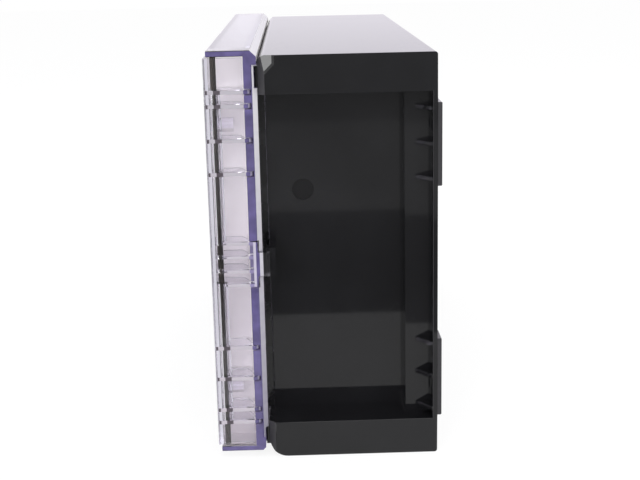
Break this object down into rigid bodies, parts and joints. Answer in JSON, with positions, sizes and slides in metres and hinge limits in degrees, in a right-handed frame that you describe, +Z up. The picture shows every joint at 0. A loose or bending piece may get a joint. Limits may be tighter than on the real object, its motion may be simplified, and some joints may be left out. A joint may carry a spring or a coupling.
{
  "type": "wall-mount enclosure box",
  "caption": "Black moulded wall-mount enclosure with recessed ends, gusseted ears and a clear hinged cover that closes with a pull-out locking bar.",
  "frame": {"origin": "bottom centre of the box that bounds the part as it stands on a long side", "axes": "+Z up, +X from the cover towards the back, +Y along the length from the locking end to the hinge end"},
  "size_m": [0.0948, 0.271, 0.1721],
  "materials": {
    "body_black": "satin moulded polycarbonate",
    "cover_clear": "polished clear polycarbonate with a violet edge tint",
    "seal_black": "matt",
    "bar_clear": "polished clear polycarbonate",
    "dark_steel": "blackened",
    "pin_steel": "ground"
  },
  "bodies": {
    "enclosure": {"enclosure_body": "body_black"},
    "cover": {"clear_cover": "cover_clear", "cover_seal": "seal_black", "bar_rod": "dark_steel", "hinge_pins": "pin_steel"},
    "bar": {"locking_bar": "bar_clear"}
  },
  "joints": [
    {"name": "cover_hinge", "type": "hinge", "parent": "enclosure", "child": "cover", "pos_m": [-0.02945, 0.1315, 0.085], "axis": [0, 0, -1], "range_deg": [0, 105]},
    {"name": "bar_release", "type": "hinge", "parent": "cover", "child": "bar", "pos_m": [-0.04365, -0.131, 0.085], "axis": [0, 0, -1], "range_deg": [0, 18]}
  ]
}
